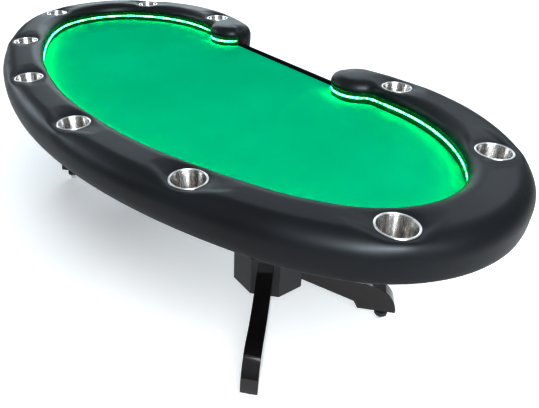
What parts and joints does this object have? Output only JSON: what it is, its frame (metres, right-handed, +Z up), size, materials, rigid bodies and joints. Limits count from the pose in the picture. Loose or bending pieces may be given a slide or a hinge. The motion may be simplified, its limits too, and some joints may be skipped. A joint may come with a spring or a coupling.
{
  "type": "poker table",
  "caption": "Oval poker table with a padded C-shaped rail, drop-in steel cups, a green cloth lit by a light strip, a dealer gap and twin pedestals with splayed legs.",
  "frame": {"origin": "on the floor, under the middle of the table's length and depth", "axes": "+X along the table's length, +Y towards the dealer gap, +Z up"},
  "size_m": [2.3922, 1.1686, 0.762],
  "materials": {
    "vinyl": "satin black vinyl over foam",
    "gloss_black": "gloss black",
    "light_strip": "lit green strip of small lights",
    "cup_steel": "brushed inside, polished rim",
    "green_cloth": "flat woven speed cloth",
    "foam": "closed-cell foam",
    "plywood": "raw plywood",
    "timber": "planed timber",
    "lacquer": "high-gloss black lacquer",
    "satin_black": "satin black lacquer",
    "zinc": "zinc-plated steel",
    "brass": "turned brass",
    "leveler_steel": "bright plated steel",
    "black_plastic": "moulded black plastic",
    "circuit": "circuit board"
  },
  "bodies": {
    "table": {"batten_back": "timber", "batten_front": "timber", "batten_screws": "zinc", "cloth_underlay": "foam", "column_left": "satin_black", "column_right": "satin_black", "controller_case": "black_plastic", "controller_circuit": "circuit", "cross_batten_1": "timber", "cross_batten_2": "timber", "cross_batten_3": "timber", "cross_batten_4": "timber", "dealer_trim": "gloss_black", "drum_base_left": "satin_black", "drum_base_right": "satin_black", "drum_cap_left": "satin_black", "drum_cap_right": "satin_black", "drum_left": "satin_black", "drum_right": "satin_black", "led_strip": "light_strip", "leg_back_left": "lacquer", "leg_back_right": "lacquer", "leg_bolts": "zinc", "leg_front_left": "lacquer", "leg_front_right": "lacquer", "leg_inserts": "brass", "leveler_inserts": "brass", "plate_screws": "zinc", "playfield_board": "plywood", "power_inlet": "black_plastic", "rail_bolts": "zinc", "rail_core": "plywood", "rail_fascia": "gloss_black", "rail_inserts": "brass", "rail_pad": "vinyl", "speed_cloth": "green_cloth", "top_plate_left": "satin_black", "top_plate_right": "satin_black", "trim_screws": "zinc"},
    "cup_1": {"cup_holder_1": "cup_steel"},
    "cup_2": {"cup_holder_2": "cup_steel"},
    "cup_3": {"cup_holder_3": "cup_steel"},
    "cup_4": {"cup_holder_4": "cup_steel"},
    "cup_5": {"cup_holder_5": "cup_steel"},
    "cup_6": {"cup_holder_6": "cup_steel"},
    "cup_7": {"cup_holder_7": "cup_steel"},
    "cup_8": {"cup_holder_8": "cup_steel"},
    "cup_9": {"cup_holder_9": "cup_steel"},
    "cup_10": {"cup_holder_10": "cup_steel"},
    "leveler_front_left": {"leveler_screw_front_left": "leveler_steel", "leveler_knob_front_left": "black_plastic"},
    "leveler_back_left": {"leveler_screw_back_left": "leveler_steel", "leveler_knob_back_left": "black_plastic"},
    "leveler_front_right": {"leveler_screw_front_right": "leveler_steel", "leveler_knob_front_right": "black_plastic"},
    "leveler_back_right": {"leveler_screw_back_right": "leveler_steel", "leveler_knob_back_right": "black_plastic"}
  },
  "joints": [
    {"name": "cup_lift_1", "type": "slide", "parent": "table", "child": "cup_1", "axis": [0, 0, 1], "range_m": [0, 0.09]},
    {"name": "cup_lift_2", "type": "slide", "parent": "table", "child": "cup_2", "axis": [0, 0, 1], "range_m": [0, 0.09]},
    {"name": "cup_lift_3", "type": "slide", "parent": "table", "child": "cup_3", "axis": [0, 0, 1], "range_m": [0, 0.09]},
    {"name": "cup_lift_4", "type": "slide", "parent": "table", "child": "cup_4", "axis": [0, 0, 1], "range_m": [0, 0.09]},
    {"name": "cup_lift_5", "type": "slide", "parent": "table", "child": "cup_5", "axis": [0, 0, 1], "range_m": [0, 0.09]},
    {"name": "cup_lift_6", "type": "slide", "parent": "table", "child": "cup_6", "axis": [0, 0, 1], "range_m": [0, 0.09]},
    {"name": "cup_lift_7", "type": "slide", "parent": "table", "child": "cup_7", "axis": [0, 0, 1], "range_m": [0, 0.09]},
    {"name": "cup_lift_8", "type": "slide", "parent": "table", "child": "cup_8", "axis": [0, 0, 1], "range_m": [0, 0.09]},
    {"name": "cup_lift_9", "type": "slide", "parent": "table", "child": "cup_9", "axis": [0, 0, 1], "range_m": [0, 0.09]},
    {"name": "cup_lift_10", "type": "slide", "parent": "table", "child": "cup_10", "axis": [0, 0, 1], "range_m": [0, 0.09]},
    {"name": "leveler_travel_front_left", "type": "slide", "parent": "table", "child": "leveler_front_left", "axis": [0, 0, -1], "range_m": [0, 0.012]},
    {"name": "leveler_travel_back_left", "type": "slide", "parent": "table", "child": "leveler_back_left", "axis": [0, 0, -1], "range_m": [0, 0.012]},
    {"name": "leveler_travel_front_right", "type": "slide", "parent": "table", "child": "leveler_front_right", "axis": [0, 0, -1], "range_m": [0, 0.012]},
    {"name": "leveler_travel_back_right", "type": "slide", "parent": "table", "child": "leveler_back_right", "axis": [0, 0, -1], "range_m": [0, 0.012]}
  ]
}
